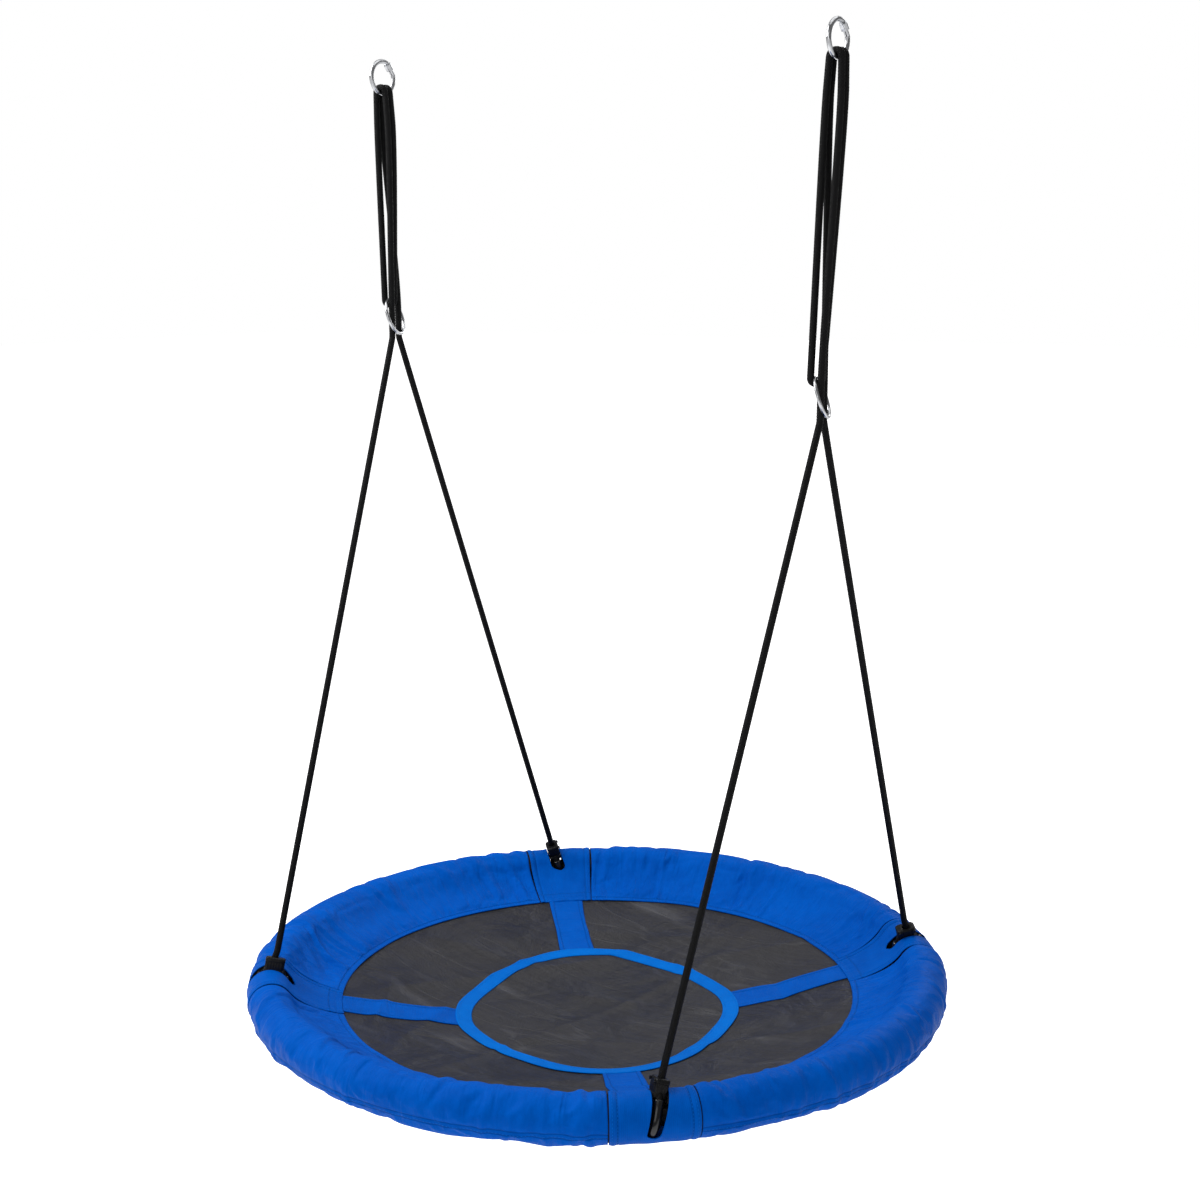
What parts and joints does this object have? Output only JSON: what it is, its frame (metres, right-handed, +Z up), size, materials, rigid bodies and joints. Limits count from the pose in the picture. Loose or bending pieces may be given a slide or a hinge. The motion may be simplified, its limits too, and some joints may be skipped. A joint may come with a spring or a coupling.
{
  "type": "saucer nest swing",
  "caption": "Round net swing seat with a padded rim, hung on two ropes that each run from the rim up through an adjuster ring to a hanging ring.",
  "frame": {"origin": "halfway between the centres of the two hanging rings", "axes": "+X along the line through both hanging rings, which the seat swings about, towards the ring with the lower adjuster; +Y the way the seat swings; +Z up"},
  "size_m": [1.0998, 1.0998, 1.5171],
  "materials": {
    "cover_cloth": "royal blue woven polyester, slight gloss",
    "patch_cloth": "royal blue woven polyester, doubled and stitched",
    "band_cloth": "royal blue binding",
    "mat_cloth": "charcoal woven mesh",
    "panel_cloth": "charcoal woven mesh, plain",
    "rope": "black braided polyester",
    "ring_steel": "bright zinc plated",
    "nut_steel": "bright zinc plated",
    "adjuster_steel": "bright zinc plated",
    "clamp_plastic": "black moulded plastic",
    "hose": "smooth black hose",
    "tube_paint": "black powder coat",
    "foam": "black closed-cell foam",
    "clamp_screw_steel": "black oxide screws",
    "screw_steel": "zinc plated screws"
  },
  "bodies": {
    "hangers": {"right_hanging_ring": "ring_steel", "left_hanging_ring": "ring_steel"},
    "right_nut": {"right_gate_nut": "nut_steel"},
    "left_nut": {"left_gate_nut": "nut_steel"},
    "strands": {"right_rope_strands": "rope", "left_rope_strands": "rope", "right_adjuster_ring": "adjuster_steel", "left_adjuster_ring": "adjuster_steel"},
    "seat": {"right_front_rope_leg": "rope", "right_front_loop_hose": "hose", "right_front_clamp_half_a": "clamp_plastic", "right_front_clamp_half_b": "clamp_plastic", "right_front_patch": "patch_cloth", "right_front_strap": "patch_cloth", "right_back_rope_leg": "rope", "right_back_loop_hose": "hose", "right_back_clamp_half_a": "clamp_plastic", "right_back_clamp_half_b": "clamp_plastic", "right_back_patch": "patch_cloth", "right_back_strap": "patch_cloth", "left_back_rope_leg": "rope", "left_back_loop_hose": "hose", "left_back_clamp_half_a": "clamp_plastic", "left_back_clamp_half_b": "clamp_plastic", "left_back_patch": "patch_cloth", "left_back_strap": "patch_cloth", "left_front_rope_leg": "rope", "left_front_loop_hose": "hose", "left_front_clamp_half_a": "clamp_plastic", "left_front_clamp_half_b": "clamp_plastic", "left_front_patch": "patch_cloth", "left_front_strap": "patch_cloth", "clamp_screws": "clamp_screw_steel", "rim_screws": "screw_steel", "right_rim_tube": "tube_paint", "right_foam_sleeve": "foam", "right_border_panel": "cover_cloth", "back_rim_tube": "tube_paint", "back_foam_sleeve": "foam", "back_border_panel": "cover_cloth", "left_rim_tube": "tube_paint", "left_foam_sleeve": "foam", "left_border_panel": "cover_cloth", "front_rim_tube": "tube_paint", "front_foam_sleeve": "foam", "front_border_panel": "cover_cloth", "mat": "mat_cloth", "centre_panel": "panel_cloth", "centre_band": "band_cloth"}
  },
  "joints": [
    {"name": "swing", "type": "hinge", "parent": "hangers", "child": "strands", "pos_m": [0, 0, 0], "axis": [1, 0, 0], "range_deg": [-45, 45]},
    {"name": "seat_rock", "type": "hinge", "parent": "strands", "child": "seat", "pos_m": [-0.00175, 0, -0.46004], "axis": [0.9922, 0, -0.1243], "range_deg": [-15, 15]},
    {"name": "right_nut_travel", "type": "slide", "parent": "hangers", "child": "right_nut", "axis": [0, 0.6157, -0.788], "range_m": [0, 0.0083]},
    {"name": "left_nut_travel", "type": "slide", "parent": "hangers", "child": "left_nut", "axis": [0, 0.6157, -0.788], "range_m": [0, 0.0083]}
  ]
}
